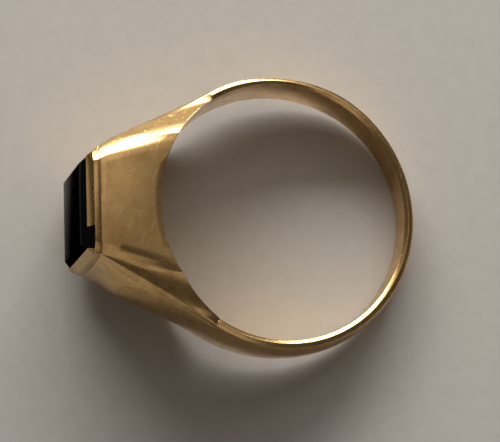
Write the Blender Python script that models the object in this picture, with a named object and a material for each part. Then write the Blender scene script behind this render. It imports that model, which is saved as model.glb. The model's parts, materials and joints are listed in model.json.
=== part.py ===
"""A gold signet ring with a rectangular onyx, lying on its side.

The ring is modelled in a frame of its own, in metres: Z is the finger axis, the centre of the
bore is the origin, and the head with the stone points along -Y. An empty then lays the ring down
the way it rests on a table, on two corners of the lower cheek and the back of the shank. The
origin ends up under the middle of the ring, with +Z up and the stone still facing -Y.
"""

from math import atan2, cos, pi, radians, sin

import bmesh
import bpy
from mathutils import Vector

MM = 0.001

# Shank: the hoop round the back of the finger
BORE_DIAMETER = 19.0 * MM
BAND_EDGE = 0.55 * MM            # thickness at its two rims
BAND_CROWN = 0.33 * MM           # bulge of its outside beyond the rims
BAND_BACK_WIDTH = 2.6 * MM
JOINT_WIDTH = 5.6 * MM           # where it is soldered to the shoulders
JOINT_ANGLE = radians(122)       # from the middle of the back

# Head: a hollow box of two cheeks and two shoulders, open towards the finger
HEAD_RISE = 4.35 * MM            # from the bore to the seam under the bezel
HEAD_WIDTH = 9.0 * MM            # along the finger, over the cheeks
HEAD_LENGTH = 7.6 * MM           # round the finger, at the seam
RIDGE_DROP = 0.4 * MM            # how far the seam's corners lie below a cheek's flat
FLAT_LENGTH = 6.0 * MM           # a cheek's flat, at the seam
FLARE_SPAN = radians(29.5)       # round the bore from the joint to the end of the flat
FLARE = 1.3                      # how soon the bore's rim widens from the joint to the flat
CHEEK_WALL = 0.6 * MM
SHOULDER_WALL = 0.8 * MM
SHOULDER_CROWN = 1.0 * MM        # bulge of a shoulder where it is fullest
SEAM_CROWN = 0.3 * MM            # bulge at the seam
FULLEST = 0.25                   # the fullest place, as a share of the way from seam to joint

# Bezel, seat and stone
BEZEL_SIDE = 0.45 * MM           # height of the collar's upright side
DRAFT_END = 0.12 * MM            # how far that side leans in at the two ends
DRAFT_SIDE = 0.02 * MM           # how far it leans in along the two sides
BEZEL_LIP = 0.42 * MM            # height of the sloping lip above it
LIP_END = 0.25 * MM              # how far the lip leans in at the two ends
LIP_SIDE = 0.6 * MM              # how far it leans in along the two sides
LIP_EDGE = 0.1 * MM              # flat top of the lip
LIP_COVER = 0.02 * MM            # how far the lip stands above the stone's upright side
STONE_CROWN = 0.44 * MM          # height of the stone's bevel
END_BEVEL = 0.35 * MM            # width of the bevel at the two ends
SIDE_BEVEL = 0.55 * MM           # width of the bevel along the two sides
SEAT_WALL = 0.5 * MM
SEAT_LEDGE = 0.7 * MM            # what the seat reaches in under the stone

JOINT_GAP = 0.03 * MM            # between pieces that are soldered or set together

BAND_STEPS = 56
FOLD_STEPS = 8
FLARE_STEPS = 7
BORE_STEPS = 12                  # along the flat's edge on the bore
CROWN_STEPS = 8

BORE = BORE_DIAMETER / 2
RIM = BORE + BAND_EDGE
SEAM = BORE + HEAD_RISE
CHEEK = HEAD_WIDTH / 2
FLAT_ANGLE = JOINT_ANGLE + FLARE_SPAN
STONE_LENGTH = HEAD_LENGTH - 2 * (DRAFT_END + LIP_END + LIP_EDGE + JOINT_GAP)
STONE_WIDTH = HEAD_WIDTH - 2 * (DRAFT_SIDE + LIP_SIDE + LIP_EDGE + JOINT_GAP)
STONE_GIRDLE = BEZEL_SIDE + BEZEL_LIP - LIP_COVER - JOINT_GAP

SHARP_ANGLE = radians(25)        # edges that turn more than this are shaded sharp

GOLD = (0.78, 0.56, 0.28)
ONYX = (0.012, 0.013, 0.014)


def clear_scene():
    for item in list(bpy.data.objects):
        bpy.data.objects.remove(item, do_unlink=True)


def make_collection(name):
    collection = bpy.data.collections.new(name)
    bpy.context.scene.collection.children.link(collection)
    return collection


def make_material(name, colour, metallic, roughness):
    material = bpy.data.materials.new(name)
    material.use_nodes = True
    shader = material.node_tree.nodes["Principled BSDF"]
    shader.inputs["Base Color"].default_value = (*colour, 1.0)
    shader.inputs["Metallic"].default_value = metallic
    shader.inputs["Roughness"].default_value = roughness
    return material


def make_gold(name):
    return make_material(name + "_gold", GOLD, metallic=1.0, roughness=0.22)


def make_onyx(name):
    return make_material(name + "_onyx", ONYX, metallic=0.0, roughness=0.08)


def add_piece(collection, frame, name, shape, material):
    """Turn a finished bmesh into one named object that hangs on the ring's frame."""
    bmesh.ops.recalc_face_normals(shape, faces=shape.faces)
    mesh = bpy.data.meshes.new(name)
    shape.to_mesh(mesh)
    shape.free()
    mesh.shade_smooth()
    mesh.set_sharp_from_angle(angle=SHARP_ANGLE)
    mesh.materials.append(material)
    piece = bpy.data.objects.new(name, mesh)
    collection.objects.link(piece)
    piece.parent = frame
    return piece


def loft(shape, sections, ring=False):
    """Skin a row of sections, and cap both ends unless the row closes into a ring."""
    loops = [[shape.verts.new(point) for point in section] for section in sections]
    pairs = list(zip(loops, loops[1:]))
    if ring:
        pairs.append((loops[-1], loops[0]))
    else:
        shape.faces.new(loops[0])
        shape.faces.new(loops[-1])
    for near, far in pairs:
        for index, corner in enumerate(near):
            shape.faces.new((near[index - 1], corner, far[index], far[index - 1]))


def blend(start, end, share):
    """Go from start to end with no sudden turn at either."""
    return start + (end - start) * share * share * (3 - 2 * share)


def around(radius, angle):
    """A point on a circle round the finger axis; angle 0 is the back, +X comes next."""
    return Vector((radius * sin(angle), radius * cos(angle)))


def crown_heights(half):
    """Heights across an outside, from one rim to the other."""
    return [half * (1 - 2 * step / CROWN_STEPS) for step in range(CROWN_STEPS + 1)]


# The head's right half, seen along the finger axis. A share runs from the seam to the joint.

def ridge(share):
    """Where a shoulder meets the cheeks: a shallow curve that runs into the shank's rim."""
    outward = around(1, JOINT_ANGLE)
    along = Vector((outward.y, -outward.x))
    joint = around(RIM, JOINT_ANGLE)
    reach = Vector((HEAD_LENGTH / 2, -SEAM)) - joint
    left = 1 - share
    return joint + along * reach.dot(along) * left + outward * reach.dot(outward) * left ** 2


def ridge_height(share):
    seam_height = CHEEK - RIDGE_DROP
    return seam_height + (JOINT_WIDTH / 2 - seam_height) * share


def crown(share):
    """The bulge of a shoulder halfway between its two ridges."""
    if share < FULLEST:
        return blend(SEAM_CROWN, SHOULDER_CROWN, share / FULLEST)
    return blend(SHOULDER_CROWN, BAND_CROWN, (share - FULLEST) / (1 - FULLEST))


def bulge(share, height):
    """How far a shoulder's outside stands beyond its ridge at some height."""
    return crown(share) * (1 - (height / ridge_height(share)) ** 2)


def fold(share):
    """The fold at the end of a cheek's flat, from the seam to the bore."""
    return Vector((FLAT_LENGTH / 2, -SEAM)).lerp(around(BORE, FLAT_ANGLE), share)


def flare(share):
    """The bore's rim from the end of the flat to the joint, and its height."""
    point = around(BORE, FLAT_ANGLE + (JOINT_ANGLE - FLAT_ANGLE) * share)
    return point, CHEEK + (JOINT_WIDTH / 2 - CHEEK) * share ** FLARE


class Rung:
    """A line across a cheek's facet, from the ridge in to the fold or the bore."""

    def __init__(self, step):
        self.share = step / (FOLD_STEPS + FLARE_STEPS)
        self.outer = ridge(self.share)
        self.outer_height = ridge_height(self.share)
        if step <= FOLD_STEPS:
            self.inner = fold(step / FOLD_STEPS)
            self.inner_height = CHEEK
        else:
            self.inner, self.inner_height = flare((step - FOLD_STEPS) / FLARE_STEPS)
        self.length = (self.outer - self.inner).length
        self.outward = (self.outer - self.inner) / self.length
        self.wall = SHOULDER_WALL
        if step > FOLD_STEPS:
            self.wall = min(SHOULDER_WALL, self.length)

    def outside(self, height):
        """The point of the shoulder's outside at a height."""
        point = self.outer + self.outward * bulge(self.share, height)
        return Vector((point.x, point.y, height))

    def inside(self, depth, below):
        """A point in from the ridge, so far below the facet, or below the flat past the fold."""
        point = self.outer - self.outward * depth
        share = min(depth / self.length, 1)
        height = self.outer_height + (self.inner_height - self.outer_height) * share
        return Vector((point.x, point.y, height - below))


def rungs():
    return [Rung(step) for step in range(FOLD_STEPS + FLARE_STEPS + 1)]


def mirrored(points):
    return [Vector((-point.x, point.y, point.z)) for point in points]


# Pieces

def shank_shape():
    """A hoop with a flat inside and a domed outside, widest at its two ends."""
    reach = JOINT_ANGLE - JOINT_GAP / RIM
    sections = []
    for step in range(BAND_STEPS + 1):
        angle = reach * (2 * step / BAND_STEPS - 1)
        share = (1 - cos(angle)) / (1 - cos(JOINT_ANGLE))
        half = (BAND_BACK_WIDTH + (JOINT_WIDTH - BAND_BACK_WIDTH) * share) / 2
        profile = [(BORE, -half), (BORE, half)]
        for height in crown_heights(half):
            profile.append((RIM + BAND_CROWN * (1 - (height / half) ** 2), height))
        sections.append([(*around(radius, angle), height) for radius, height in profile])
    shape = bmesh.new()
    loft(shape, sections)
    return shape


def shoulder_shape(side):
    """A domed plate between the cheeks, from the seam down to the shank."""
    below = CHEEK_WALL + JOINT_GAP
    sections = []
    for rung in rungs():
        inner = rung.inside(rung.wall, below)
        section = [rung.outside(height) for height in crown_heights(rung.outer_height - below)]
        section.append(Vector((inner.x, inner.y, -inner.z)))
        section.append(inner)
        sections.append(section if side > 0 else mirrored(section))
    shape = bmesh.new()
    loft(shape, sections)
    return shape


def cheek_shape(side):
    """A side plate: a flat over the bore, and a facet that falls away to each shoulder."""
    shape = bmesh.new()
    inward = shape.verts.layers.float_vector.new("inward")

    def add(point, height, shift=Vector((0, 0))):
        vert = shape.verts.new((point.x, point.y, height))
        vert[inward] = (shift.x, shift.y, -CHEEK_WALL)
        return vert

    chains = []
    for hand in (1, -1):
        chain = []
        for rung in rungs():
            lower = rung.outer_height - CHEEK_WALL
            shift = rung.outward * bulge(rung.share, lower)
            mirror = Vector((hand, 1))
            chain.append((add(rung.inner * mirror, rung.inner_height),
                          add(rung.outer * mirror, rung.outer_height, shift * mirror)))
        for near, far in zip(chain, chain[1:]):
            shape.faces.new((near[0], near[1], far[1], far[0]))
        chains.append([inner for inner, outer in chain[:FOLD_STEPS + 1]])

    arc = []
    for step in range(1, BORE_STEPS):
        angle = FLAT_ANGLE + 2 * (pi - FLAT_ANGLE) * step / BORE_STEPS
        arc.append(add(around(BORE, angle), CHEEK))
    shape.faces.new(chains[0] + arc + chains[1][::-1])

    bmesh.ops.recalc_face_normals(shape, faces=shape.faces)
    lifted = bmesh.ops.extrude_face_region(shape, geom=shape.faces[:])
    for item in lifted["geom"]:
        if isinstance(item, bmesh.types.BMVert):
            item.co += item[inward]
    shape.verts.layers.float_vector.remove(inward)
    bmesh.ops.scale(shape, vec=(1, 1, side), verts=shape.verts)
    return shape


def seam_outline(end_inset=0, side_inset=0):
    """The head's outline at the seam, drawn in by a little."""
    half = CHEEK - RIDGE_DROP
    length = 1 - end_inset / (HEAD_LENGTH / 2)
    width = 1 - side_inset / CHEEK
    end = [(FLAT_LENGTH / 2, CHEEK)]
    for height in crown_heights(half):
        end.append((HEAD_LENGTH / 2 + bulge(0, height), height))
    end.append((FLAT_LENGTH / 2, -CHEEK))
    other = [(-x, -z) for x, z in end]
    return [(x * length, z * width) for x, z in end + other]


def stone_outline(clearance):
    """A rectangle round the stone, with one point for each point of the seam's outline."""
    half_length = STONE_LENGTH / 2 + clearance
    half_width = STONE_WIDTH / 2 + clearance
    flat = half_length * FLAT_LENGTH / HEAD_LENGTH
    end = [(flat, half_width)]
    end.extend((half_length, height) for height in crown_heights(half_width))
    end.append((flat, -half_width))
    other = [(-x, -z) for x, z in end]
    return end + other


def bezel_shape():
    """The collar round the stone: an upright side, a sloping lip and a straight bore."""
    foot = SEAM + JOINT_GAP
    brow = SEAM + BEZEL_SIDE
    top = brow + BEZEL_LIP
    levels = [
        (foot, seam_outline()),
        (brow, seam_outline(DRAFT_END, DRAFT_SIDE)),
        (top, stone_outline(JOINT_GAP + LIP_EDGE)),
        (top, stone_outline(JOINT_GAP)),
        (foot, stone_outline(JOINT_GAP)),
    ]
    shape = bmesh.new()
    loft(shape, [[(x, -rise, z) for x, z in outline] for rise, outline in levels], ring=True)
    return shape


def stone_shape():
    """A slab with upright sides and a bevelled top."""
    shape = bmesh.new()
    bmesh.ops.create_cube(shape, size=1)
    bmesh.ops.scale(shape, vec=(STONE_LENGTH, STONE_GIRDLE, STONE_WIDTH), verts=shape.verts)
    middle = SEAM + JOINT_GAP + STONE_GIRDLE / 2
    bmesh.ops.translate(shape, vec=(0, -middle, 0), verts=shape.verts)
    shape.faces.ensure_lookup_table()
    front = min(shape.faces, key=lambda face: face.calc_center_median().y)
    raised = bmesh.ops.extrude_discrete_faces(shape, faces=[front])
    table = raised["faces"][0]
    bmesh.ops.translate(shape, vec=(0, -STONE_CROWN, 0), verts=table.verts)
    shrink = (1 - 2 * END_BEVEL / STONE_LENGTH, 1, 1 - 2 * SIDE_BEVEL / STONE_WIDTH)
    bmesh.ops.scale(shape, vec=shrink, verts=table.verts)
    return shape


def seat_shape():
    """A flat frame inside the head, level with its walls, that the stone rests on."""
    length = HEAD_LENGTH - 2 * (SHOULDER_WALL + JOINT_GAP)
    width = HEAD_WIDTH - 2 * (CHEEK_WALL + JOINT_GAP)
    levels = []
    for rise, inset in ((0, 0), (0, SEAT_LEDGE), (SEAT_WALL, SEAT_LEDGE), (SEAT_WALL, 0)):
        half_length = length / 2 - inset
        half_width = width / 2 - inset
        corners = ((1, 1), (1, -1), (-1, -1), (-1, 1))
        levels.append([(x * half_length, rise - SEAM, z * half_width) for x, z in corners])
    shape = bmesh.new()
    loft(shape, levels, ring=True)
    return shape


def lay_down(frame, pieces):
    """Tip the ring on to its lower cheek and its back, and centre it over the origin."""
    cheek_corner = around(BORE, FLAT_ANGLE)
    drop = CHEEK - BAND_BACK_WIDTH / 2
    frame.rotation_euler = (-atan2(drop, RIM - cheek_corner.y), 0, 0)
    bpy.context.view_layer.update()
    points = [piece.matrix_world @ vert.co for piece in pieces for vert in piece.data.vertices]
    low = Vector(min(point[axis] for point in points) for axis in range(3))
    high = Vector(max(point[axis] for point in points) for axis in range(3))
    middle = (low + high) / 2
    frame.location = (-middle.x, -middle.y, -low.z)


def main():
    clear_scene()
    collection = make_collection("signet_ring")
    frame = bpy.data.objects.new("ring_frame", None)
    collection.objects.link(frame)
    shoulder_gold = make_gold("shoulder")
    cheek_gold = make_gold("cheek")
    pieces = [
        add_piece(collection, frame, "shank_band", shank_shape(), make_gold("shank")),
        add_piece(collection, frame, "shoulder_right", shoulder_shape(1), shoulder_gold),
        add_piece(collection, frame, "shoulder_left", shoulder_shape(-1), shoulder_gold),
        add_piece(collection, frame, "cheek_upper", cheek_shape(1), cheek_gold),
        add_piece(collection, frame, "cheek_lower", cheek_shape(-1), cheek_gold),
        add_piece(collection, frame, "bezel_collar", bezel_shape(), make_gold("bezel")),
        add_piece(collection, frame, "stone_seat", seat_shape(), make_gold("seat")),
        add_piece(collection, frame, "onyx_stone", stone_shape(), make_onyx("stone")),
    ]
    lay_down(frame, pieces)


main()
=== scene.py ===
"""The looks of a gold signet ring with a rectangular onyx, lying on its side.

Every piece is modelled upright, with the finger axis along Z and the stone facing -Y, and is
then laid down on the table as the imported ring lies.
"""

import json
from math import asin, cos, pi, radians, sin

import bmesh
import bpy
from bpy.props import FloatProperty, FloatVectorProperty, PointerProperty
from mathutils import Euler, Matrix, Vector


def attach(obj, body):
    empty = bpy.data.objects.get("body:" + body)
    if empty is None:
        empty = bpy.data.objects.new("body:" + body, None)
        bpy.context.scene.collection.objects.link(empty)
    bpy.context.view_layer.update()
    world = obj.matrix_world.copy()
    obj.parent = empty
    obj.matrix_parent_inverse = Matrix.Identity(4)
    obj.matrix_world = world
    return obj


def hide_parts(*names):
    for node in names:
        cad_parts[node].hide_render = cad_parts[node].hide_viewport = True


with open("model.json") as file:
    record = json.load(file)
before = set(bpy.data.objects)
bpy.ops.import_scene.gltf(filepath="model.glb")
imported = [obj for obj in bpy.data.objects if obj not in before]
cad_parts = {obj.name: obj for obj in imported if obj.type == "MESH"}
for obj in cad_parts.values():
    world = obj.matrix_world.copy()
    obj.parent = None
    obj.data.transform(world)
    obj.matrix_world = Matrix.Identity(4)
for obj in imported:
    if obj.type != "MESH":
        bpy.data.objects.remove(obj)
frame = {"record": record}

bl_info = {
    "name": "Signet Ring",
    "version": (1, 0, 0),
    "blender": (4, 5, 0),
    "location": "View3D > Sidebar > Signet Ring",
    "description": "Models a gold signet ring with a rectangular onyx and a studio stage",
    "category": "Add Mesh",
}

MM = 0.001
NEAR = 0.001 * MM                # points closer than this count as one
FLARE = 1.3                      # how soon the bore's rim widens from the joint to the flat
FOLD_SHARE = 8 / 15              # where the ridge passes the end of the flat
FULLEST = 0.25                   # where a shoulder bulges most
CORNER_PART = 1 / 3              # where the head's corner lies across the strip by the flat
SPREAD_EARLY = 0.4               # how near the seam the left side's spread is greatest
SPREAD_DROP = 0.7                # how far the spread ridge drops, as a share of the spread
SOFT_ROLL = 1.25                 # how softly the left cheek rolls off towards its corner
LIFT_PART = 0.4                  # how far past the crease the facet falls back to its line
LIFT_RISE = 0.3                  # how far in from the ridge the crease gains its full lift
THINNEST = radians(-88)          # where the band is worn thinnest, round from the back
AT_CORNER = 0.999                # this near the head's corner, a line across a cheek is on it
SQUARE_ON = 0.9                  # a face whose normal keeps this much along an axis looks along it
BAND_STEPS = 120                 # how finely each curve is divided
CROWN_STEPS = 16
SHOULDER_STEPS = 45
FLAT_STEPS = 8
STRIP_STEPS = 6
FACET_STEPS = 24
ACROSS_STEPS = 10
SIDE_STEPS = 4
PANEL_MIDDLE = radians(10)       # a panel is at its brightest within this angle
PANEL_EDGE = radians(20)         # and has faded out here
CHIP_BITE = 0.05 * MM            # how far the chip reaches past the stone's side
SMOOTH_WITHIN = radians(22)      # faces that meet flatter than this are shaded as one
RIM_TURN = radians(45)           # an edge is worn where it turns by more than this: in a rim,
SHARP_TURN = radians(20)         # elsewhere on the shank, and on the bezel and the stone,
CHEEK_TURN = radians(35)         # on a cheek,
BLOCK_TURN = radians(40)         # and on a shoulder and the seat
RUB_AND_HIGHLIGHT_REACH = 0.12 * MM            # how far from an edge the gold is rubbed bright and given a painted highlight, and the stone is scuffed
STONE_RUB_REACH = 0.08 * MM      # and the stone is scuffed
RUB_START = 0.01                 # how much a surface turns where the rubbing begins
RUB_FULL = 0.12                  # and where it is complete
TONE_SCALE = 260                 # noise cells to a metre: the gold's tone,
BLOTCH_SCALE = 1100              # its blotches,
RIPPLE_SCALE = 1500              # its faint unevenness,
SMEAR_SCALE = 420                # the smears on the stone
TABLE_SCALE = 900                # and the grain of the table
GRAIN_LENGTH = 2.5 * MM          # of the lines that polishing leaves
GRAIN_WIDTH = 0.07 * MM
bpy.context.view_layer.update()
SCRATCHES = (                    # direction in degrees, length and width in mm, and how few
    (159, 6, 0.14, 0.745),
    (112, 5, 0.11, 0.765),
    (60, 4, 0.1, 0.8),
)
STONE_SCRATCHES = (35, 1.2, 0.02, 0.73)   # the same four, on the stone
SCRATCH_EDGE = 0.04              # how softly a scratch ends
SMEAR_DIMMING = 0.8              # how much of its reflection the stone keeps under a smear
TABLE_DIMMING = 0.94             # how much of its brightness the table keeps in its grain
CAMERA_NEAR = 10 * MM            # the camera draws nothing nearer than this
CAMERA_FAR = 20000 * MM          # or farther than this
FACE = next(mount for mount in frame["record"]["mounts"] if mount["name"] == "signet_face")


def length(name, description, default):
    """A size, kept in metres and given here in millimetres."""
    return FloatProperty(name=name, description=description, default=default * MM,
                         min=0, precision=5, subtype="DISTANCE", unit="LENGTH")


def turn(name, description, default):
    """An angle, kept in radians and given here in degrees."""
    return FloatProperty(name=name, description=description, default=radians(default),
                         subtype="ANGLE", unit="ROTATION")


def fraction(name, description, default):
    return FloatProperty(name=name, description=description, default=default,
                         min=0, max=1, subtype="FACTOR")


def amount(name, description, default):
    return FloatProperty(name=name, description=description, default=default, min=0)


def direction(name, description, default):
    return FloatVectorProperty(name=name, description=description, default=default,
                               size=3, subtype="DIRECTION")


def colour(name, description, default):
    return FloatVectorProperty(name=name, description=description, default=default,
                               min=0, max=1, subtype="COLOR")


class ShankSizes(bpy.types.PropertyGroup):
    bore: length("Bore radius", "Radius of the round hole for the finger", 9.5)
    edge: length("Rim thickness", "Thickness of the band at its two rims", 0.55)
    crown: length("Band crown", "How far the outside bulges beyond the rims", 0.33)
    back_width: length("Back width", "Width of the band at the back of the finger", 2.6)
    joint_width: length("Joint width", "Width of the band where it meets the head", 5.6)
    joint_angle: turn("Joint angle", "From the middle of the back to the joint", 122)
    thinned: fraction("Thinned", "How much of the band is worn away on the left", 0.25)
    slope_width: length("Rim slope width", "Worn slope along the outer edge of a rim", 0.24)
    slope_drop: length("Rim slope drop", "How far that slope falls", 0.12)
    inner_slope_width: length("Inner slope width", "Worn slope along a rim's inner edge", 0.26)
    inner_slope_drop: length("Inner slope drop", "How far the inner slope falls", 0.14)
    inner_wear: length("Inner edge wear", "Width of the rounding of the inner edge", 0.07)
    edge_wear: length("Outer edge wear", "Width of the rounding of all other edges", 0.05)


class HeadSizes(bpy.types.PropertyGroup):
    rise: length("Head rise", "From the bore to the seam under the bezel", 4.35)
    width: length("Head width", "Width over the two cheeks, along the finger", 9.0)
    length: length("Head length", "Length at the seam, round the finger", 7.6)
    ridge_drop: length("Ridge drop", "How far the seam's corners lie below the flat", 0.4)
    flat_length: length("Flat length", "Length of a cheek's flat at the seam", 6.0)
    flat_angle: turn("Flat angle", "Where the flat ends on the bore", 151.5)
    crease_angle: turn("Crease angle", "Where the crease past the flat ends on the bore", 147.3)
    crease_share: fraction("Crease end", "Where that crease meets the ridge", 0.18)
    crease_lift: length("Crease lift", "How far that crease stands proud", 0.12)
    flat_crown: length("Flat crown", "How far a cheek's flat swells in its middle", 0.04)
    cheek_wall: length("Cheek wall", "Thickness of a side plate", 0.6)
    shoulder_wall: length("Shoulder wall", "Thickness of a shoulder", 0.8)
    shoulder_crown: length("Shoulder crown", "Bulge of a shoulder where it is fullest", 1.0)
    seam_crown: length("Seam crown", "Bulge of a shoulder at the seam", 0.3)
    cheek_wear: length("Cheek edge wear", "Width of the rounding of a cheek's edges", 0.05)
    shoulder_wear: length("Shoulder edge wear", "Width of the rounding of a shoulder's edges", 0.02)
    left_spread: length("Left spread", "How far the left ridge stands out", 0.35)
    left_crown: length("Left crown", "Bulge of the left shoulder where it is fullest", 0.45)


class StoneSizes(bpy.types.PropertyGroup):
    side: length("Collar side", "Height of the collar's upright side", 0.45)
    end_draft: length("Collar draft, ends", "How far that side leans in at the ends", 0.12)
    side_draft: length("Collar draft, sides", "How far it leans in along the sides", 0.02)
    lip: length("Lip height", "Height of the sloping lip above the side", 0.42)
    lip_end: length("Lip lean, ends", "How far the lip leans in at the ends", 0.25)
    lip_side: length("Lip lean, sides", "How far the lip leans in along the sides", 0.6)
    lip_edge: length("Lip edge", "Flat top of the lip", 0.1)
    lip_cover: length("Lip cover", "How far the lip stands above the stone's side", 0.02)
    crown: length("Crown", "Height of the stone's bevel", 0.44)
    end_bevel: length("End bevel", "Width of the stone's bevel at the ends", 0.35)
    side_bevel: length("Side bevel", "Width of the stone's bevel along the sides", 0.55)
    edge_wear: length("Stone edge wear", "Width of the rounding of the stone's edges", 0.03)
    bezel_wear: length("Bezel edge wear", "Width of the rounding of the collar's edges", 0.045)
    seat_wear: length("Seat edge wear", "Width of the rounding of the seat's edges", 0.04)
    seat_wall: length("Seat thickness", "Thickness of the frame under the stone", 0.5)
    seat_ledge: length("Seat ledge", "How far the seat reaches in under the stone", 0.7)
    gap: length("Joint gap", "Gap the packed pieces keep from each other", 0.03)
    chip_start: length("Chip start", "From the middle to where the lip is chipped away", 1.75)
    chip_foot: length("Chip foot", "Height of the collar left under the chip", 0.4)


class Finish(bpy.types.PropertyGroup):
    gold: colour("Gold", "Clean metal", (0.94, 0.64, 0.29))
    # Dulled metal; the collar's gold is also pulled half way to this colour as painted shade.
    tarnish_and_shade: colour("Tarnish", "Metal dulled by wear and handling", (0.6, 0.38, 0.15))
    # The paler edge colour is partly rubbed gold and partly a painted highlight.
    bright: colour("Bright edge", "Metal rubbed bright along the edges", (1.0, 0.82, 0.54))
    gold_roughness: fraction("Gold roughness", "Roughness of the polish", 0.17)
    scratch_depth: length("Scratch depth", "Depth of the fine scratches", 0.004)
    onyx: colour("Onyx", "What the stone's polish mirrors face on", (0.036, 0.039, 0.043))
    onyx_worn: colour("Worn onyx", "The same on scratches and rubbed edges", (0.09, 0.09, 0.09))
    onyx_roughness: fraction("Onyx roughness", "Roughness of the stone's polish", 0.06)
    onyx_rim: fraction("Onyx rim", "How much of its sheen the stone keeps at a slant", 0.1)


class Stage(bpy.types.PropertyGroup):
    floor: colour("Floor", "Colour of the table", (0.66, 0.655, 0.645))
    floor_roughness: fraction("Floor roughness", "Roughness of the table top", 0.85)
    floor_grain: length("Floor grain", "Height of the table top's fine grain", 0.02)
    floor_size: length("Floor size", "Edge of the table top", 4000)
    distance: length("Light distance", "From the ring to each light", 500)
    key_way: direction("Key direction", "From the ring to the main light", (-0.898, -0.06, 0.438))
    key_length: length("Key length", "Level edge of the main light", 560)
    key_height: length("Key height", "Upright edge of the main light", 212)
    key_power: amount("Key power", "Power of the main light, in watts", 3.1)
    fill_way: direction("Fill direction", "From the ring to the second light", (-0.66, 0.5, 0.57))
    fill_size: length("Fill size", "Edge of the second light", 260)
    fill_power: amount("Fill power", "Power of the second light, in watts", 0.25)
    lamp_colour: colour("Light colour", "Colour of the two lights", (1.0, 0.94, 0.86))
    room: amount("Room light", "Light from the room all round", 0.07)
    room_colour: colour("Room colour", "Colour of the room and its panels", (1.0, 0.88, 0.75))
    over_way: direction("Overhead panel", "From the ring to the panel above it",
                        (-0.42, 0.15, 0.9))
    over_power: amount("Overhead light", "Brightness of the panel above", 0.5)
    side_way: direction("Side panel", "From the ring to the panel across from the lights",
                        (0.62, 0.05, 0.78))
    side_power: amount("Side light", "Brightness of that panel", 0.32)
    camera_azimuth: turn("Camera azimuth", "Round the ring, from the stone's side", 72.313)
    camera_height: turn("Camera height", "Above the table", 77.480)
    camera_roll: turn("Camera roll", "Turn of the picture", 16.268)
    camera_distance: length("Camera distance", "From the point it looks at", 207.83)
    lens: length("Lens", "Focal length of the camera", 206.47)
    aim: FloatVectorProperty(name="Aim", description="The point the camera looks at", size=3,
                             default=(0.67 * MM, 0.58 * MM, 5 * MM), subtype="XYZ", unit="LENGTH")


# Mesh tools

def deselect():
    if bpy.context.mode != "OBJECT":
        bpy.ops.object.mode_set(mode="OBJECT")
    bpy.ops.object.select_all(action="DESELECT")


def edit(select_mode="VERT"):
    bpy.ops.object.mode_set(mode="EDIT")
    bpy.ops.mesh.select_mode(type=select_mode)
    return bmesh.from_edit_mesh(bpy.context.object.data)


def object_mode():
    bpy.ops.object.mode_set(mode="OBJECT")


def select_only(kind, test):
    """Selects in the edited mesh the faces or edges that pass a test, and nothing else."""
    shape = bmesh.from_edit_mesh(bpy.context.object.data)
    for item in (*shape.faces, *shape.edges, *shape.verts):
        item.select = False
    for item in getattr(shape, kind):
        if test(item):
            item.select_set(True)
    bmesh.update_edit_mesh(bpy.context.object.data)


def weigh_edges(test, weight):
    """Gives the edges that pass a test a bevel weight."""
    select_only("edges", test)
    bpy.ops.transform.edge_bevelweight(value=weight)


def loft(name, sections, ring=False):
    """Skins a row of outlines: the first is a circle put in shape, the rest are extruded from it."""
    deselect()
    bpy.ops.mesh.primitive_circle_add(vertices=len(sections[0]), radius=MM)
    piece = bpy.context.object
    piece.name = name
    shape = edit()
    shape.verts.ensure_lookup_table()
    row = list(shape.verts)
    for vert, point in zip(row, sections[0]):
        vert.co = point
    bmesh.update_edit_mesh(piece.data)
    for section in sections[1:]:
        bpy.ops.mesh.extrude_region_move()
        shape = bmesh.from_edit_mesh(piece.data)
        shape.verts.ensure_lookup_table()
        fresh = list(shape.verts)[-len(section):]
        below = {min(edge.other_vert(vert).index for edge in vert.link_edges
                     if not edge.other_vert(vert).select): vert for vert in fresh}
        for (index, vert), point in zip(sorted(below.items()), section):
            vert.co = point
        bmesh.update_edit_mesh(piece.data)
        order = [vert.index for index, vert in sorted(below.items())]
        if order != sorted(order):
            raise RuntimeError(name + ": the extruded row came out in another order")
    select_only("edges", lambda edge: edge.is_boundary)
    if ring:
        bpy.ops.mesh.bridge_edge_loops()
    else:
        bpy.ops.mesh.edge_face_add()
    bpy.ops.mesh.select_all(action="SELECT")
    bpy.ops.mesh.normals_make_consistent(inside=False)
    object_mode()
    return piece


def finish_edges(piece, width, segments, angle=None):
    """Rounds the weighted edges, or those sharper than an angle, and shades the piece."""
    rounding = piece.modifiers.new("edge_wear", "BEVEL")
    rounding.width = width
    rounding.segments = segments
    rounding.limit_method = "WEIGHT" if angle is None else "ANGLE"
    if angle is not None:
        rounding.angle_limit = angle
    bpy.context.view_layer.objects.active = piece
    bpy.ops.object.modifier_apply(modifier=rounding.name)
    piece.select_set(True)
    bpy.ops.object.shade_smooth_by_angle(angle=SMOOTH_WITHIN)


def upright_to_table():
    """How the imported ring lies: how far it is tipped about X, and where its bore's centre is."""
    tip = asin(FACE["axis"][2])
    table = stone_table()
    place = Vector(FACE["pos_m"]) + Vector((0, table * cos(tip), -table * sin(tip)))
    return tip, place


def lay_down(piece, node, material):
    """Lays a finished piece on the table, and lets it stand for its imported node."""
    tip, place = upright_to_table()
    piece.rotation_euler = (-tip, 0, 0)
    piece.location = place
    deselect()
    piece.select_set(True)
    bpy.context.view_layer.objects.active = piece
    bpy.ops.object.transform_apply(location=True, rotation=True, scale=True)
    piece.data.materials.append(material)
    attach(piece, "root")
    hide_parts(node)


# The ring's lines, seen along the finger axis. A share runs from the seam to the joint.

def around(radius, angle):
    """A point on a circle round the finger axis; angle 0 is the back, +X comes next."""
    return Vector((radius * sin(angle), radius * cos(angle)))


def stone_table():
    """From the finger axis to the stone's table."""
    head, stone = bpy.context.scene.ring_head, bpy.context.scene.ring_stone
    bore = bpy.context.scene.ring_shank.bore
    return bore + head.rise + stone.side + stone.lip - stone.lip_cover + stone.crown


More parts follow.
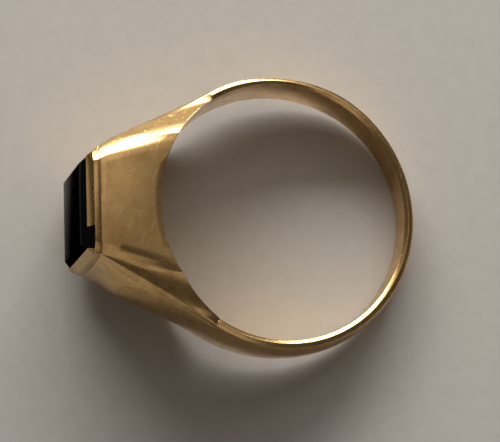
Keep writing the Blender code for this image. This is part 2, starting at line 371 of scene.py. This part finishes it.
class Lines:
    """The curves that the head's pieces share; the left side is spread and worn flatter."""

    def __init__(self, scene, hand=1):
        self.shank, self.head = scene.ring_shank, scene.ring_head
        self.spread = self.head.left_spread if hand < 0 else 0
        self.fullest = self.head.left_crown if hand < 0 else self.head.shoulder_crown
        self.bore = self.shank.bore
        self.rim = self.bore + self.shank.edge
        self.seam = self.bore + self.head.rise
        self.cheek = self.head.width / 2
        self.half_length = self.head.length / 2
        self.half_flat = self.head.flat_length / 2

    def ridge(self, share):
        """Where a shoulder meets the cheeks, and its height."""
        outward = around(1, self.shank.joint_angle)
        along = Vector((outward.y, -outward.x))
        joint = around(self.rim, self.shank.joint_angle)
        reach = Vector((self.half_length, -self.seam)) - joint
        left = 1 - share
        point = joint + along * reach.dot(along) * left + outward * reach.dot(outward) * left ** 2
        spread = self.spread * sin(pi * share ** SPREAD_EARLY)
        point = point + outward * spread
        seam_height = self.cheek - self.head.ridge_drop
        height = seam_height + (self.shank.joint_width / 2 - seam_height) * share
        return point, height - spread * SPREAD_DROP

    def rim_height(self, angle):
        """The height of the bore's rim between the flat and the joint."""
        span = self.head.flat_angle - self.shank.joint_angle
        part = max(0, self.head.flat_angle - angle) / span
        return self.cheek + (self.shank.joint_width / 2 - self.cheek) * part ** FLARE

    def inner(self, share):
        """The foot of the facet opposite a point of the ridge: on the fold, then on the bore."""
        head = self.head
        if share < FOLD_SHARE:
            foot = around(self.bore, head.flat_angle)
            return Vector((self.half_flat, -self.seam)).lerp(foot, share / FOLD_SHARE), self.cheek
        part = (share - FOLD_SHARE) / (1 - FOLD_SHARE)
        angle = head.flat_angle + (self.shank.joint_angle - head.flat_angle) * part
        return around(self.bore, angle), self.rim_height(angle)

    def outward(self, share):
        """The way a shoulder's outside faces, and the width of the facet beside it."""
        span = self.ridge(share)[0] - self.inner(share)[0]
        return span.normalized(), span.length

    def crown(self, share):
        """The bulge of a shoulder halfway between its two ridges."""
        head = self.head
        if share < FULLEST:
            return ease(head.seam_crown, self.fullest, share / FULLEST)
        return ease(self.fullest, self.shank.crown, (share - FULLEST) / (1 - FULLEST))

    def outside(self, share, height):
        """The point of a shoulder's outside at a height."""
        point, top = self.ridge(share)
        bulge = self.crown(share) * (1 - (height / top) ** 2)
        point = point + self.outward(share)[0] * bulge
        return Vector((point.x, point.y, height))


def ease(start, end, part):
    """Goes from start to end with no sudden turn at either."""
    return start + (end - start) * part * part * (3 - 2 * part)


def steps(start, end, count):
    """Evenly spaced numbers, with both ends."""
    return [start + (end - start) * step / count for step in range(count + 1)]


def mirror_x(points):
    return [Vector((-point.x, point.y, point.z)) for point in points]


# Shaders

class Socket:
    """A shader value that adds Math nodes when Python adds, subtracts or multiplies it."""

    def __init__(self, shader, socket):
        self.shader, self.socket = shader, socket

    def maths(self, operation, *values):
        inputs = dict(enumerate(values))
        return self.shader.node("ShaderNodeMath", inputs, operation=operation)

    def __add__(self, other):
        return self.maths("ADD", self, other)

    def __radd__(self, other):
        return self.maths("ADD", other, self)

    def __sub__(self, other):
        return self.maths("SUBTRACT", self, other)

    def __rsub__(self, other):
        return self.maths("SUBTRACT", other, self)

    def __mul__(self, other):
        return self.maths("MULTIPLY", self, other)

    def __rmul__(self, other):
        return self.maths("MULTIPLY", other, self)

    def clamp(self):
        return self.maths("MINIMUM", self.maths("MAXIMUM", self, 0), 1)

    def highest(self, other):
        return self.maths("MAXIMUM", self, other)


class Shader:
    """A material, or the world, that is built one node at a time."""

    def __init__(self, owner):
        owner.use_nodes = True
        self.tree = owner.node_tree
        self.tree.nodes.clear()

    def node(self, kind, inputs=None, output=0, **settings):
        """Adds a node: first its settings, then the values or links of its sockets."""
        made = self.tree.nodes.new(kind)
        for name, value in settings.items():
            setattr(made, name, value)
        for name, value in (inputs or {}).items():
            if isinstance(value, Socket):
                self.tree.links.new(value.socket, made.inputs[name])
            else:
                made.inputs[name].default_value = value
        return Socket(self, made.outputs[output])

    def output(self, kind, made):
        """Joins a finished shader to the material's or the world's output."""
        end = self.tree.nodes.new(kind)
        self.tree.links.new(made.socket, end.inputs["Surface"])

    def place(self):
        return self.node("ShaderNodeTexCoord", output="Object")

    def grained(self, place, turned, long, wide):
        """Coordinates for a pattern drawn out along X and then turned, one unit to a mark."""
        inputs = {"Vector": place, "Rotation": turned, "Scale": (long, wide, wide)}
        return self.node("ShaderNodeMapping", inputs, vector_type="TEXTURE")

    def noise(self, place, scale, detail, roughness, distortion=0):
        inputs = {"Vector": place, "Scale": scale, "Detail": detail, "Roughness": roughness,
                  "Distortion": distortion}
        return self.node("ShaderNodeTexNoise", inputs)

    def blend(self, factor, first, second):
        """Mixes two colours."""
        inputs = {0: factor, 6: first, 7: second}
        return self.node("ShaderNodeMix", inputs, output=2, data_type="RGBA")

    def range(self, value, low, high):
        """0 where a value is low or less, 1 where it is high or more, and even between."""
        return self.node("ShaderNodeMapRange", {0: value, 1: low, 2: high}, clamp=True)

    def scratches(self, place, turned, long, wide, few):
        """Thin straight marks that all run about one way: 1 on a mark, 0 beside it."""
        laid = self.grained(place, turned, long, wide)
        marks = self.noise(laid, 1, detail=0, roughness=0.5, distortion=0.2)
        return self.range(marks, few, few + SCRATCH_EDGE)


def opaque(tone):
    """A colour as a shader's socket takes it."""
    return (*tone, 1)


def edge_wear(shader, radius):
    """How strongly an edge is rubbed, and on the gold also lit by a painted highlight: 0 on an open
    face, towards 1 where it turns.
    """
    rounded = shader.node("ShaderNodeBevel", {"Radius": radius}, samples=6)
    plain = shader.node("ShaderNodeNewGeometry", output="Normal")
    turned = shader.node("ShaderNodeVectorMath", {0: rounded, 1: plain}, output="Value",
                         operation="DOT_PRODUCT")
    return shader.range(1 - turned, RUB_START, RUB_FULL)


def make_gold(name, finish, grain=0, roughness=0, painted_shade=0):
    """Worn polished gold: uneven tone, edges rubbed bright and given a painted highlight, a fine
    polishing grain and scratches.

    The grain is an angle; a piece may also be rougher than the rest, or darkened towards the dull
    colour as painted shade.
    """
    material = bpy.data.materials.new(name)
    shader = Shader(material)
    place = shader.place()
    # Edges: rubbed gold that sheds the dull tone, and partly a painted highlight.
    edges = edge_wear(shader, RUB_AND_HIGHLIGHT_REACH)
    tone = shader.noise(place, TONE_SCALE, detail=4, roughness=0.6, distortion=0.3)
    blotches = shader.noise(place, BLOTCH_SCALE, detail=3, roughness=0.65, distortion=0.6)
    dulled = shader.range(tone * 0.65 + blotches * 0.35, 0.4, 0.64) * (1 - edges)
    laid = shader.grained(place, (0, 0, grain), GRAIN_LENGTH, GRAIN_WIDTH)
    brushing = shader.noise(laid, 1, detail=2, roughness=0.6)
    ripple = shader.noise(place, RIPPLE_SCALE, detail=2, roughness=0.5)
    marks = 0
    for angle, long, wide, few in SCRATCHES:
        found = shader.scratches(place, (0, 0, radians(angle)), long * MM, wide * MM, few)
        marks = found.highest(marks)
    # A piece's painted shade pulls it as a whole towards the dull colour.
    base = shader.blend((dulled + painted_shade).clamp(), opaque(finish.gold), opaque(finish.tarnish_and_shade))
    # Paler metal along the edges and in the scratches; along the edges it is partly a painted
    # highlight.
    base = shader.blend((edges * 0.6 + marks * 0.3).clamp(), base, opaque(finish.bright))
    rough = finish.gold_roughness + roughness
    polish = rough + 0.08 * dulled + 0.05 * brushing + 0.08 * marks - 0.05 * edges
    height = 0.2 * brushing - 0.5 * marks + 0.1 * ripple
    bump = shader.node("ShaderNodeBump", {"Strength": 0.3, "Distance": finish.scratch_depth,
                                          "Height": height})
    made = shader.node("ShaderNodeBsdfPrincipled", {
        "Base Color": base, "Roughness": polish, "Metallic": 1.0, "Normal": bump})
    shader.output("ShaderNodeOutputMaterial", made)
    return material


def make_onyx(name, finish):
    """Polished black stone: a faint clear mirror with smears and hair-fine scratches."""
    material = bpy.data.materials.new(name)
    shader = Shader(material)
    place = shader.place()
    smears = shader.noise(place, SMEAR_SCALE, detail=4, roughness=0.6, distortion=0.8)
    angle, long, wide, few = STONE_SCRATCHES
    marks = shader.scratches(place, (0, radians(angle), 0), long * MM, wide * MM, few)
    edges = edge_wear(shader, STONE_RUB_REACH)
    base = shader.blend(shader.range(smears, 0.35, 0.7), opaque(finish.onyx),
                        opaque([SMEAR_DIMMING * part for part in finish.onyx]))
    base = shader.blend((0.5 * marks + 0.3 * edges).clamp(), base, opaque(finish.onyx_worn))
    polish = finish.onyx_roughness + 0.08 * shader.range(smears, 0.45, 0.75) + 0.1 * marks
    height = 0.25 * smears - marks
    bump = shader.node("ShaderNodeBump", {"Strength": 0.15, "Distance": finish.scratch_depth,
                                          "Height": height})
    made = shader.node("ShaderNodeBsdfPrincipled", {
        "Base Color": base, "Roughness": polish, "Metallic": 1.0, "Normal": bump,
        "Specular Tint": opaque(3 * [finish.onyx_rim])})
    shader.output("ShaderNodeOutputMaterial", made)
    return material


# Pieces

class RING_OT_shank(bpy.types.Operator):
    """Model the half-round shank"""

    bl_idname = "ring.shank"
    bl_label = "Shank"

    def execute(self, context):
        lines = Lines(context.scene)
        sizes = context.scene.ring_shank
        sections = []
        for angle in steps(-sizes.joint_angle, sizes.joint_angle, BAND_STEPS):
            part = (1 - cos(angle)) / (1 - cos(sizes.joint_angle))
            half = (sizes.back_width + (sizes.joint_width - sizes.back_width) * part) / 2
            off_middle = min(1, abs(angle - THINNEST) / (sizes.joint_angle + THINNEST))
            kept = 1 - sizes.thinned * cos(pi / 2 * off_middle) ** 2
            rim = lines.bore + sizes.edge * kept
            shelf = rim - sizes.slope_width * kept
            brow = half - sizes.slope_drop
            crest = lines.bore + sizes.inner_slope_width * kept
            mouth = half - sizes.inner_slope_drop
            profile = [(shelf, -half), (crest, -half), (lines.bore, -mouth),
                       (lines.bore, mouth), (crest, half), (shelf, half)]
            for height in steps(brow, -brow, CROWN_STEPS):
                bulge = sizes.crown * kept * (1 - (height / half) ** 2)
                profile.append((rim + bulge, height))
            sections.append([Vector((*around(radius, angle), height)) for radius, height in profile])
        shank = loft("shank", sections)
        deselect()
        bpy.context.view_layer.objects.active = shank
        edit("EDGE")

        def inside(edge):
            return all(abs(vert.co.xy.length - lines.bore) < NEAR for vert in edge.verts) \
                and edge.calc_face_angle(0) > RIM_TURN

        def sharp(edge):
            return edge.calc_face_angle(0) > SHARP_TURN and not inside(edge)

        weigh_edges(sharp, sizes.edge_wear / sizes.inner_wear)
        weigh_edges(inside, 1)
        object_mode()
        finish_edges(shank, sizes.inner_wear, 4)
        finish = context.scene.ring_finish
        lay_down(shank, "shank_band", make_gold("shank_gold", finish))
        return {"FINISHED"}


class RING_OT_shoulders(bpy.types.Operator):
    """Model the two domed shoulders of the head"""

    bl_idname = "ring.shoulders"
    bl_label = "Shoulders"

    def sections(self, lines, head):
        """Outlines of a shoulder, from the seam down to the shank."""
        found = []
        for part in steps(0, 1, SHOULDER_STEPS):
            ridge, top = lines.ridge(part)
            way, span = lines.outward(part)
            foot, foot_height = lines.inner(part)
            wall = head.shoulder_wall if part < FOLD_SHARE else min(head.shoulder_wall, span)
            inner = ridge - way * wall
            inner_height = top + (foot_height - top) * min(wall / span, 1) - head.cheek_wall
            edge = top - head.cheek_wall
            section = [lines.outside(part, height) for height in steps(edge, -edge, CROWN_STEPS)]
            section.append(Vector((inner.x, inner.y, -inner_height)))
            section.append(Vector((inner.x, inner.y, inner_height)))
            found.append(section)
        return found

    def execute(self, context):
        gold = make_gold("shoulder_gold", context.scene.ring_finish)
        for side, hand in (("right", 1), ("left", -1)):
            head = context.scene.ring_head
            rows = self.sections(Lines(context.scene, hand), head)
            if hand < 0:
                rows = [mirror_x(row) for row in rows]
            shoulder = loft("shoulder_" + side + "_plate", rows)
            finish_edges(shoulder, head.shoulder_wear, 2, BLOCK_TURN)
            lay_down(shoulder, "shoulder_" + side, gold)
        return {"FINISHED"}


class Column:
    """A line across the top of a cheek, from its outer edge in to the bore."""

    def __init__(self, outer, height, inner, inner_height, ridge=None):
        self.outer, self.height = outer, height
        self.inner, self.inner_height = inner, inner_height
        self.ridge = ridge
        self.lift = 0
        self.swell = 0

    def point(self, part, below=0):
        """A point part of the way in, on the top or so far below it."""
        point = self.outer.lerp(self.inner, part)
        level = self.height + (self.inner_height - self.height) * part
        level += self.lift * min(1, part / LIFT_RISE) + self.swell * 4 * part * (1 - part)
        return Vector((point.x, point.y, level - below))


class RING_OT_cheeks(bpy.types.Operator):
    """Model the two side plates of the head, each with a flat and folded ends"""

    bl_idname = "ring.cheeks"
    bl_label = "Cheeks"

    def columns(self, lines, head, hand):
        """Lines from the outer edge in to the bore, from the middle of the flat to the joint."""
        found = []
        for part in steps(0, 1, FLAT_STEPS):
            angle = pi + (head.flat_angle - pi) * part
            column = Column(Vector((lines.half_flat * part, -lines.seam)), lines.cheek,
                            around(lines.bore, angle), lines.cheek)
            column.swell = head.flat_crown * (1 - part ** 2)
            found.append(column)
        corner = lines.half_length - lines.half_flat
        roll = SOFT_ROLL if hand < 0 else 1
        for part in steps(0, 1, STRIP_STEPS)[1:]:
            angle = head.flat_angle + (head.crease_angle - head.flat_angle) * part
            if part <= CORNER_PART:
                along = part / CORNER_PART
                outer = Vector((lines.half_flat + corner * along, -lines.seam))
                height = lines.cheek - head.ridge_drop * along ** roll
                where = 0 if along > AT_CORNER else None
            else:
                where = head.crease_share * (part - CORNER_PART) / (1 - CORNER_PART)
                outer, height = lines.ridge(where)
            column = Column(outer, height, around(lines.bore, angle), lines.rim_height(angle), where)
            column.lift = head.crease_lift * part
            found.append(column)
        for part in steps(0, 1, FACET_STEPS)[1:]:
            angle = head.crease_angle + (lines.shank.joint_angle - head.crease_angle) * part
            where = head.crease_share + (1 - head.crease_share) * part
            outer, height = lines.ridge(where)
            column = Column(outer, height, around(lines.bore, angle), lines.rim_height(angle), where)
            column.lift = head.crease_lift * max(0, 1 - part / LIFT_PART)
            found.append(column)
        return found

    def section(self, lines, head, column, hand):
        """The outline of the plate, cut along one column."""
        top, under = [], []
        for part in steps(0, 1, ACROSS_STEPS):
            top.append(column.point(part))
            under.append(column.point(part, head.cheek_wall))
        side = []
        for part in steps(0, 1, SIDE_STEPS)[1:]:
            level = column.height - head.cheek_wall * part
            if column.ridge is None:
                side.append(Vector((column.outer.x, column.outer.y, level)))
            else:
                side.append(lines.outside(column.ridge, level))
        outline = top + under[:0:-1] + side[::-1]
        return outline if hand > 0 else mirror_x(outline)

    def execute(self, context):
        head = context.scene.ring_head
        halves = {}
        for hand in (1, -1):
            lines = Lines(context.scene, hand)
            columns = self.columns(lines, head, hand)
            halves[hand] = [self.section(lines, head, column, hand) for column in columns]
        cheek = loft("cheek_upper_plate", halves[-1][:0:-1] + halves[1])
        finish_edges(cheek, head.cheek_wear, 2, CHEEK_TURN)
        deselect()
        cheek.select_set(True)
        bpy.context.view_layer.objects.active = cheek
        bpy.ops.object.duplicate()
        lower = bpy.context.object
        lower.name = "cheek_lower_plate"
        lower.scale.z = -1
        bpy.ops.object.transform_apply(scale=True)
        edit()
        bpy.ops.mesh.select_all(action="SELECT")
        bpy.ops.mesh.normals_make_consistent(inside=False)
        object_mode()
        gold = make_gold("cheek_gold", context.scene.ring_finish, grain=pi / 2)
        lay_down(cheek, "cheek_upper", gold)
        lay_down(lower, "cheek_lower", gold)
        return {"FINISHED"}


def seam_outline(lines, end_inset=0, side_inset=0):
    """The head's outline at the seam, drawn in by a little."""
    half = lines.cheek - lines.head.ridge_drop
    long = 1 - end_inset / lines.half_length
    wide = 1 - side_inset / lines.cheek
    end = [(lines.half_flat, lines.cheek)]
    for height in steps(half, -half, CROWN_STEPS):
        bulge = lines.head.seam_crown * (1 - (height / half) ** 2)
        end.append((lines.half_length + bulge, height))
    end.append((lines.half_flat, -lines.cheek))
    whole = end + [(-x, -z) for x, z in end]
    return [(x * long, z * wide) for x, z in whole]


def stone_half(lines, stone):
    """Half the stone's length and half its width, at its upright sides."""
    rim = stone.lip_edge + stone.gap
    half_length = lines.half_length - stone.end_draft - stone.lip_end - rim
    return half_length, lines.cheek - stone.side_draft - stone.lip_side - rim


def stone_outline(lines, stone, clearance):
    """A rectangle round the stone, with one point for each point of the seam's outline."""
    half_length, half_width = stone_half(lines, stone)
    half_length += clearance
    half_width += clearance
    flat = half_length * lines.half_flat / lines.half_length
    end = [(flat, half_width)]
    end.extend((half_length, height) for height in steps(half_width, -half_width, CROWN_STEPS))
    end.append((flat, -half_width))
    return end + [(-x, -z) for x, z in end]


class RING_OT_bezel(bpy.types.Operator):
    """Model the collar round the stone, with the chip in its lip"""

    bl_idname = "ring.bezel"
    bl_label = "Bezel"

    def execute(self, context):
        lines = Lines(context.scene)
        stone = context.scene.ring_stone
        foot = lines.seam
        brow = foot + stone.side
        top = brow + stone.lip
        levels = [
            (foot, seam_outline(lines)),
            (brow, seam_outline(lines, stone.end_draft, stone.side_draft)),
            (top, stone_outline(lines, stone, stone.lip_edge)),
            (top, stone_outline(lines, stone, 0)),
            (foot, stone_outline(lines, stone, 0)),
        ]
        rows = [[Vector((x, -rise, z)) for x, z in outline] for rise, outline in levels]
        bezel = loft("bezel", rows, ring=True)
        finish_edges(bezel, stone.bezel_wear, 2, SHARP_TURN)
        self.chip(lines, stone, bezel)
        # The collar's gold is darkened half way to the dull colour: painted shade.
        gold = make_gold("bezel_gold", context.scene.ring_finish, painted_shade=0.5)
        lay_down(bezel, "bezel_collar", gold)
        return {"FINISHED"}

    def chip(self, lines, stone, bezel):
        """Cuts the lip away beside one corner of the stone, and the top of the side under it."""
        start = stone_half(lines, stone)[1] - CHIP_BITE
        reach = lines.half_length - stone.chip_start
        depth = stone.side + stone.lip
        deselect()
        middle = (stone.chip_start + reach, -(lines.seam + stone.chip_foot + depth),
                  start + lines.cheek / 2)
        bpy.ops.mesh.primitive_cube_add(size=1, location=middle,
                                        scale=(2 * reach, 2 * depth, lines.cheek))
        cutter = bpy.context.object
        cut = bezel.modifiers.new("chip", "BOOLEAN")
        cut.object = cutter
        cut.solver = "EXACT"
        bpy.context.view_layer.objects.active = bezel
        bpy.ops.object.modifier_apply(modifier=cut.name)
        bpy.data.objects.remove(cutter)
        bezel.select_set(True)
        bpy.ops.object.shade_smooth_by_angle(angle=SMOOTH_WITHIN)


class RING_OT_seat(bpy.types.Operator):
    """Model the flat frame that the stone sits on"""

    bl_idname = "ring.seat"
    bl_label = "Stone seat"

    def execute(self, context):
        lines = Lines(context.scene)
        head, stone = context.scene.ring_head, context.scene.ring_stone
        size = (head.length - 2 * head.shoulder_wall, stone.seat_wall,
                head.width - 2 * head.cheek_wall)
        deselect()
        bpy.ops.mesh.primitive_cube_add(size=1, scale=size,
                                        location=(0, -lines.seam + stone.seat_wall / 2, 0))
        seat = bpy.context.object
        seat.name = "seat"
        bpy.ops.object.transform_apply(location=True, scale=True)
        edit("FACE")
        select_only("faces", lambda face: abs(face.normal.y) > SQUARE_ON)
        bpy.ops.mesh.inset(thickness=stone.seat_ledge)
        bpy.ops.mesh.bridge_edge_loops()
        bpy.ops.mesh.select_all(action="SELECT")
        bpy.ops.mesh.normals_make_consistent(inside=False)
        object_mode()
        finish_edges(seat, stone.seat_wear, 2, BLOCK_TURN)
        gold = make_gold("seat_gold", context.scene.ring_finish, roughness=0.15)
        lay_down(seat, "stone_seat", gold)
        return {"FINISHED"}


class RING_OT_stone(bpy.types.Operator):
    """Model the bevelled onyx"""

    bl_idname = "ring.stone"
    bl_label = "Onyx"

    def execute(self, context):
        lines = Lines(context.scene)
        stone = context.scene.ring_stone
        half_length, half_width = stone_half(lines, stone)
        girdle = stone.side + stone.lip - stone.lip_cover
        deselect()
        bpy.ops.mesh.primitive_cube_add(size=1, location=(0, -lines.seam - girdle / 2, 0),
                                        scale=(2 * half_length, girdle, 2 * half_width))
        onyx = bpy.context.object
        onyx.name = "onyx"
        bpy.ops.object.transform_apply(location=True, scale=True)
        edit("FACE")
        select_only("faces", lambda face: face.normal.y < -SQUARE_ON)
        bpy.ops.mesh.extrude_region_move(TRANSFORM_OT_translate={"value": (0, -stone.crown, 0)})
        bpy.ops.transform.resize(value=(1 - stone.end_bevel / half_length, 1,
                                        1 - stone.side_bevel / half_width))
        object_mode()
        finish_edges(onyx, stone.edge_wear, 3, SHARP_TURN)
        lay_down(onyx, "onyx_stone", make_onyx("stone_onyx", context.scene.ring_finish))
        return {"FINISHED"}


class RING_OT_stage(bpy.types.Operator):
    """Add the table, the lights and the camera"""

    bl_idname = "ring.stage"
    bl_label = "Stage"

    def floor(self, stage):
        deselect()
        bpy.ops.mesh.primitive_plane_add(size=stage.floor_size)
        floor = bpy.context.object
        floor.name = "table_top"
        material = bpy.data.materials.new("table_top")
        shader = Shader(material)
        place = shader.place()
        grain = shader.noise(place, TABLE_SCALE, detail=4, roughness=0.6)
        tone = shader.blend(shader.range(grain, 0.3, 0.7), opaque(stage.floor),
                            opaque([TABLE_DIMMING * part for part in stage.floor]))
        bump = shader.node("ShaderNodeBump", {"Strength": 0.2, "Distance": stage.floor_grain,
                                              "Height": grain})
        made = shader.node("ShaderNodeBsdfPrincipled", {
            "Base Color": tone, "Roughness": stage.floor_roughness, "Normal": bump})
        shader.output("ShaderNodeOutputMaterial", made)
        floor.data.materials.append(material)

    def lamp(self, name, stage, way, size, power):
        """A rectangular light that faces the ring, its long edge level."""
        light = bpy.data.lights.new(name, "AREA")
        light.shape = "RECTANGLE"
        light.size, light.size_y = size
        light.energy = power
        light.color = stage.lamp_colour
        lamp = bpy.data.objects.new(name, light)
        bpy.context.scene.collection.objects.link(lamp)
        way = Vector(way).normalized()
        lamp.location = way * stage.distance
        lamp.rotation_euler = way.to_track_quat("Z", "Y").to_euler()

    def panel(self, shader, facing, way, power):
        """A soft patch of light in the room, brightest in its middle."""
        middle = Vector(way).normalized()
        near = shader.node("ShaderNodeVectorMath", {0: facing, 1: middle}, output="Value",
                           operation="DOT_PRODUCT")
        return power * shader.range(near, cos(PANEL_EDGE), cos(PANEL_MIDDLE))

    def world(self, stage):
        """A dim room with two soft panels."""
        world = bpy.data.worlds.new("room")
        bpy.context.scene.world = world
        shader = Shader(world)
        facing = shader.node("ShaderNodeTexCoord", output="Generated")
        strength = stage.room
        for way, power in ((stage.over_way, stage.over_power), (stage.side_way, stage.side_power)):
            strength = strength + self.panel(shader, facing, way, power)
        made = shader.node("ShaderNodeBackground", {"Color": opaque(stage.room_colour),
                                                    "Strength": strength})
        shader.output("ShaderNodeOutputWorld", made)

    def camera(self, stage):
        camera = bpy.data.cameras.new("camera")
        camera.lens = stage.lens / MM
        camera.clip_start = CAMERA_NEAR
        camera.clip_end = CAMERA_FAR
        eye = bpy.data.objects.new("camera", camera)
        bpy.context.scene.collection.objects.link(eye)
        azimuth, height = stage.camera_azimuth, stage.camera_height
        back = Vector((sin(azimuth) * cos(height), -cos(azimuth) * cos(height), sin(height)))
        eye.location = Vector(stage.aim) + back * stage.camera_distance
        level = back.to_track_quat("Z", "Y")
        eye.rotation_euler = (level @ Euler((0, 0, stage.camera_roll)).to_quaternion()).to_euler()
        bpy.context.scene.camera = eye

    def execute(self, context):
        stage = context.scene.ring_stage
        self.floor(stage)
        self.lamp("key", stage, stage.key_way, (stage.key_length, stage.key_height),
                  stage.key_power)
        self.lamp("fill", stage, stage.fill_way, (stage.fill_size, stage.fill_size),
                  stage.fill_power)
        self.world(stage)
        self.camera(stage)
        context.scene.view_settings.view_transform = "Standard"
        return {"FINISHED"}


class RING_PT_panel(bpy.types.Panel):
    """The signet ring's pieces and stage"""

    bl_idname = "RING_PT_panel"
    bl_label = "Signet Ring"
    bl_space_type = "VIEW_3D"
    bl_region_type = "UI"
    bl_category = "Signet Ring"

    def draw(self, context):
        for step in STEPS:
            self.layout.operator(step.bl_idname)


STEPS = (RING_OT_shank, RING_OT_shoulders, RING_OT_cheeks, RING_OT_bezel, RING_OT_seat,
         RING_OT_stone, RING_OT_stage)
GROUPS = {"ring_shank": ShankSizes, "ring_head": HeadSizes, "ring_stone": StoneSizes,
          "ring_finish": Finish, "ring_stage": Stage}


def register():
    for group in GROUPS.values():
        bpy.utils.register_class(group)
    for kind in (*STEPS, RING_PT_panel):
        bpy.utils.register_class(kind)
    for name, group in GROUPS.items():
        setattr(bpy.types.Scene, name, PointerProperty(type=group))


def unregister():
    for name in GROUPS:
        delattr(bpy.types.Scene, name)
    for kind in (RING_PT_panel, *reversed(STEPS)):
        bpy.utils.unregister_class(kind)
    for group in reversed(GROUPS.values()):
        bpy.utils.unregister_class(group)


def main():
    register()
    bpy.ops.ring.shank()
    bpy.ops.ring.shoulders()
    bpy.ops.ring.cheeks()
    bpy.ops.ring.bezel()
    bpy.ops.ring.seat()
    bpy.ops.ring.stone()
    bpy.ops.ring.stage()


if __name__ == "__main__":
    main()
